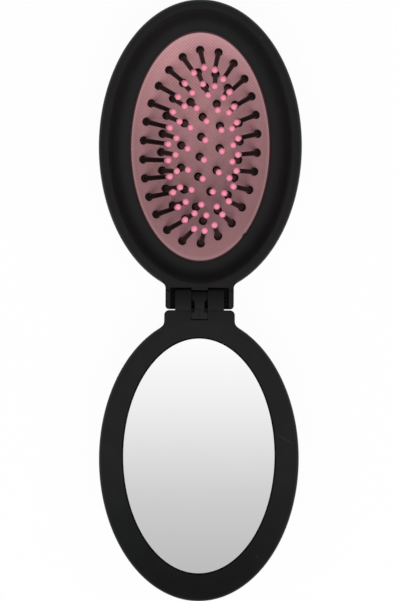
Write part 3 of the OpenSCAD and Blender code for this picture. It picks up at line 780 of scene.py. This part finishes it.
KNUCKLE_R = 3.5 * mm
KNUCKLE_OUT = 7.35 * mm
KNUCKLE_TOP = 1.35 * mm
KNUCKLE_FRONT = -2.98 * mm
KNUCKLE_FLAT = -2 * mm
KNUCKLE_BACK = 3.4 * mm
KNUCKLE_DROP = 0.8 * mm
KNUCKLE_TURN = -14
ARM_T = 2.45 * mm
STEM_FLOOR = 1.8 * mm
SPRING_FOOT_Y = -3.72 * mm
NOTCH_END = -6.02 * mm
NOTCH_FLOOR = 2.35 * mm
# Painted shade: the knuckles darken towards their backs, where they drop into the trough, and the far
# end of the mirror half darkens towards its end.
HINGE_SHADE = (-2.6 * mm, 2.4 * mm, 0.46)
FAR_SHADE = (-52 * mm, -88 * mm, 0.45)
MIRROR_CRUMB = (17.5 * mm, -77 * mm, rim_top - 0.3 * mm)
SCRATCH = ((23.1 * mm, -40.1 * mm, 0), (28.5 * mm, -43 * mm, 0))


def knuckle_top(top, flat_from, flat_to, back, drop):
    """The top of a round seen from the side: a short flat in front, then a fall towards the brush."""
    fall = (top + drop) / (back - flat_to) ** 2
    slope = [(y, top - fall * (y - flat_to) ** 2) for y in steps(flat_to, back, 18)]
    return [(flat_from, top)] + slope


arm_back = -SHOULDER_REACH - mm
arm_turn = -180 + math.degrees(math.asin(ARM_T / KNUCKLE_R))
bar = [(arm_back, -RIM_CLEAR), (KNUCKLE_FRONT, -RIM_CLEAR)]
bar += knuckle_top(KNUCKLE_TOP, KNUCKLE_FRONT, KNUCKLE_FLAT, KNUCKLE_BACK, KNUCKLE_DROP)
bar += arc((0, 0), KNUCKLE_R, KNUCKLE_TURN, arm_turn, 32)
bar += [(arm_back, -ARM_T)]
for sign in (-1, 1):
    low_x, high_x = sorted((sign * KNUCKLE_IN, sign * KNUCKLE_OUT))
    joined(mirror_housing, "UNION", side_prism(bar, low_x, high_x, EDGE_SOFT / 2))
web_turns = [180 + math.degrees(math.asin(drop / HEAD_ROOM_R)) for drop in (ARM_T, STEM_FLOOR)]
web = [(arm_back, -ARM_T)] + arc((0, 0), HEAD_ROOM_R, *web_turns, 6) + [(arm_back, -STEM_FLOOR)]
joined(mirror_housing, "UNION", side_prism(web, -KNUCKLE_IN - EDGE_SOFT, KNUCKLE_IN + EDGE_SOFT))
joined(mirror_housing, "DIFFERENCE", axle(BORE_R, EAR_OUT))
slot = both_sides([(KNUCKLE_IN, SPRING_FOOT_Y), (KNUCKLE_IN, 0)])
joined(mirror_housing, "DIFFERENCE", plan_prism(slot, rim_z - STEM_FLOOR, rim_z + AIR))
notch = [(x, NOTCH_END if y < 0 else SPRING_FOOT_Y + CLEARANCE) for x, y in slot]
joined(mirror_housing, "DIFFERENCE", plan_prism(notch, rim_z - NOTCH_FLOOR, rim_z + AIR))
finished(mirror_housing)
mirror_plastic = black_plastic(
    "mirror_housing_black", shade_fades=(HINGE_SHADE, FAR_SHADE), crumbs=(MIRROR_CRUMB,), scratch=SCRATCH
)
coated(mirror_housing, mirror_plastic)
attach(mirror_housing, "mirror_half")
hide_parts("mirror_shell")


# Foam tape: a white double-sided foam oval, cut to the glass, that holds the glass on its ledge. It
# hides behind the glass, so the CAD's plain oval stays.
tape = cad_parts["mirror_tape"]
foam, shader, place = start_material("tape_foam", Specular_IOR_Level=0.3)
cells = place.noise(0.5 * mm, 3)
cells.colour((0.5, 0.5, 0.48, 1), (0.68, 0.68, 0.66, 1)).feed(shader, "Base Color")
(cells * 0.2 + 0.7).feed(shader, "Roughness")
cells.bump(0.1 * mm).feed(shader, "Normal")
coated(tape, foam)


# Looking glass: a flat oval cut from silvered glass, with its edge ground off all round. The foam
# tape behind it holds it on the ledge of the mirror half.
GLASS_EDGE = 0.3 * mm
GLASS_CREASE = math.radians(20)

outline = [
    (GLASS_EDGE, glass_low.z), (0, glass_low.z + GLASS_EDGE),
    (0, glass_high.z - GLASS_EDGE), (GLASS_EDGE, glass_high.z),
]
bm = bmesh.new()
oval_skin(bm, glass_middle, glass_half, outline)
glass = finished(solid("looking_glass", bm), GLASS_CREASE)
silver, shader, place = start_material("silvered_glass", Metallic=1.0)
film = place.noise(9 * mm, 4)
film.colour((0.975, 0.975, 0.975, 1), (0.99, 0.99, 0.99, 1)).feed(shader, "Base Color")
(film * 0.012).feed(shader, "Roughness")
glass.data.materials.append(silver)
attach(glass, "mirror_half")
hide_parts("mirror_glass")


# Hinge pin: a rod of blackened drawn steel with chamfered ends. It is pressed through the ears of
# the brush half, and the knuckles and the click spring turn on it.
HINGE_PIN_R = 0.68 * mm
PIN_END_R = 0.52 * mm
PIN_CHAMFER = 0.2 * mm

bm = bmesh.new()
ring = bmesh.ops.create_circle(
    bm, segments=TURNING_STEPS // 2, radius=PIN_END_R, cap_ends=True
)["verts"]
edges = list(ring[0].link_faces[0].edges)
for radius, last_radius, run in (
    (HINGE_PIN_R, PIN_END_R, PIN_CHAMFER),
    (HINGE_PIN_R, HINGE_PIN_R, pin_high.x - pin_low.x - 2 * PIN_CHAMFER),
    (PIN_END_R, HINGE_PIN_R, PIN_CHAMFER),
):
    ring, edges = pulled_ring(bm, edges)
    bmesh.ops.scale(bm, verts=ring, vec=(radius / last_radius, radius / last_radius, 1))
    bmesh.ops.translate(bm, verts=ring, vec=(0, 0, run))
bmesh.ops.edgeloop_fill(bm, edges=edges)
place = Matrix.Translation((pin_low.x, hinge.y, hinge.z)) @ Matrix.Rotation(math.pi / 2, 4, "Y")
bmesh.ops.transform(bm, matrix=place, verts=bm.verts)
hinge_rod = finished(solid("hinge_rod", bm))
blued, shader, place = start_material("blackened_steel", Specular_IOR_Level=0.04)
drawn = place.vector("MULTIPLY", (0.08, 1, 1)).noise(0.3 * mm, 3)
drawn.colour((0.0016, 0.0016, 0.0018, 1), (0.003, 0.003, 0.0032, 1)).feed(shader, "Base Color")
(drawn * 0.2 + 0.45).feed(shader, "Roughness")
drawn.bump(0.008 * mm).feed(shader, "Normal")
hinge_rod.data.materials.append(blued)
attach(hinge_rod, "brush_half")
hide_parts("hinge_pin")


# Click spring: a satin black acetal moulding that holds the brush open or shut. Its head turns round
# the pin between the knuckles, and its slim stem ends in a foot that sits in the mirror half's notch.
HEAD_HEIGHT = 1.3 * mm
HEAD_ROUND_R = 2.9 * mm
HEAD_FRONT = -2.45 * mm
HEAD_FLAT = -1.6 * mm
HEAD_BACK = 2.8 * mm
HEAD_DROP = 0.75 * mm
HEAD_TURN = -15.5
STEM_HALF_W = 1.45 * mm
STEM_TOP = 0.3 * mm
STEM_T = 1.3 * mm
NECK_Y = 0.55 * mm
FOOT_END = -5.64 * mm
FOOT_FLOOR = 2.25 * mm
GROOVE_HALF_W = 0.16 * mm
GROOVE_DEPTH = 0.18 * mm
SPRING_SOFT = 0.1 * mm
# Painted shade: the lever's head darkens towards its back, where it drops into the trough.
LEVER_SHADE = (-2.9 * mm, 2 * mm, 0.66)

side_view = [(HEAD_FRONT, -STEM_TOP)]
side_view += knuckle_top(HEAD_HEIGHT, HEAD_FRONT, HEAD_FLAT, HEAD_BACK, HEAD_DROP)
stem_turn = -180 + math.degrees(math.asin((STEM_TOP + STEM_T) / HEAD_ROUND_R))
side_view += arc((0, 0), HEAD_ROUND_R, HEAD_TURN, stem_turn, 32)
side_view += [
    (SPRING_FOOT_Y, -STEM_TOP - STEM_T), (SPRING_FOOT_Y, -FOOT_FLOOR), (FOOT_END, -FOOT_FLOOR),
    (FOOT_END, -STEM_TOP),
]
spring = side_prism(side_view, -SPRING_HALF_W, SPRING_HALF_W)
taper = SPRING_HALF_W - STEM_HALF_W
right = [
    (SPRING_HALF_W, FOOT_END), (SPRING_HALF_W, SPRING_FOOT_Y), (STEM_HALF_W, SPRING_FOOT_Y),
    (STEM_HALF_W, NECK_Y - taper), (SPRING_HALF_W, NECK_Y), (SPRING_HALF_W, HEAD_ROUND_R),
]
joined(spring, "INTERSECT", plan_prism(both_sides(right), 0, rim_z + AIR))
joined(spring, "DIFFERENCE", axle(BORE_R, EAR_OUT))
groove = both_sides([(GROOVE_HALF_W, FOOT_END - mm), (GROOVE_HALF_W, HEAD_FRONT)])
joined(spring, "DIFFERENCE", plan_prism(groove, rim_z - STEM_TOP - GROOVE_DEPTH, rim_z + AIR))
finished(spring)
soft_edges = spring.modifiers.new("soft_edges", "BEVEL")
soft_edges.width = SPRING_SOFT
soft_edges.segments = 2
soft_edges.limit_method = "ANGLE"
soft_edges.angle_limit = math.radians(45)
coated(spring, black_plastic("spring_black", 1.6, 0.38, shade_fades=(LEVER_SHADE,)))
spring.name = "click_lever"
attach(spring, "mirror_half")
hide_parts("click_spring")


# Studio: a white table, a camera high above the middle, a soft lamp above and a little in front, and
# pale surroundings. What the mirror shows is the pale ceiling, which darkens evenly towards the front
# of the room.
TABLE_HALF = 1.5
TABLE_Z = -0.05 * mm
CAMERA_HEIGHT = 4.0
FIELD_H = 180.3 * mm
AIM = (0.27 * mm, -0.09 * mm)
ROLL = math.radians(0.275)
TABLE_WHITE = 0.96
CEILING = (
    (0.119, 0.991), (0.3, 0.88), (0.443, 0.753), (0.587, 0.631), (0.731, 0.552), (0.803, 0.521),
    (1, 0.5),
)
CEILING_REACH = 0.1
FAR_TONE = 0.86
AMBIENT = 0.56
SENSOR_W = 36
SIGHT = 50
LAMP_AT = (0.05, -0.46, 1.1)
LAMP_SIZE = 0.7
LAMP_POWER = 7.2

bm = bmesh.new()
bmesh.ops.create_grid(bm, x_segments=1, y_segments=1, size=TABLE_HALF)
bmesh.ops.translate(bm, verts=bm.verts, vec=(0, 0, TABLE_Z))
table = solid("table", bm)
paint, shader, place = start_material("table_paint", Roughness=0.8)
grain = place.noise(4 * mm, 3)
grain.colour((0.89, 0.89, 0.89, 1), (0.91, 0.91, 0.91, 1)).feed(shader, "Base Color")
white = grain.add("Emission", {}, {"Color": (1, 1, 1, 1), "Strength": 1.0})
seen = (grain.ray("Camera") + grain.ray("Glossy") + grain.ray("Transmission")) * TABLE_WHITE
plain = Shade(grain.tree, shader.outputs[0])
mixed = grain.add("MixShader", {}, {0: seen, 1: plain, 2: white})
mixed.feed(paint.node_tree.nodes["Material Output"], "Surface")
table.data.materials.append(paint)

camera = bpy.data.objects.new("camera", bpy.data.cameras.new("camera"))
bpy.context.scene.collection.objects.link(camera)
camera.location = (*AIM, rim_z + CAMERA_HEIGHT)
camera.rotation_euler = (0, 0, ROLL)
camera.data.sensor_width = SENSOR_W
camera.data.lens = SENSOR_W * CAMERA_HEIGHT / FIELD_H
camera.data.clip_end = SIGHT
bpy.context.scene.camera = camera

lamp = bpy.data.objects.new("key", bpy.data.lights.new("key", "AREA"))
bpy.context.scene.collection.objects.link(lamp)
lamp.location = LAMP_AT
lamp.rotation_euler = (-Vector(LAMP_AT)).to_track_quat("-Z", "Y").to_euler()
lamp.data.size = LAMP_SIZE
lamp.data.energy = LAMP_POWER
lamp.visible_glossy = False

world = bpy.data.worlds.new("studio")
world.use_nodes = True
background = world.node_tree.nodes["Background"]
look = Shade(world.node_tree).add("TexCoord")
x, y, z = (look.axis(i) for i in range(3))
toward = y / z * (-CAMERA_HEIGHT / CEILING_REACH)
stops = [(place, (tone, tone, tone, 1)) for place, tone in CEILING]
ceiling = toward.add("ValToRGB", {"stops": stops}, {0: toward})
spread = (x * x + y * y).maths("SQRT") / z.maths("MAXIMUM", 0.001)
ceiling = spread.between(0.04, 0.2).colour(ceiling, (FAR_TONE, FAR_TONE, FAR_TONE, 1))
shiny = look.ray("Glossy") + look.ray("Transmission")
glow = shiny.colour((AMBIENT, AMBIENT, AMBIENT, 1), ceiling)
look.ray("Camera").colour(glow, (1, 1, 1, 1)).feed(background, "Color")
background.inputs["Strength"].default_value = 1.0
bpy.context.scene.world = world
bpy.context.scene.view_settings.view_transform = "Standard"
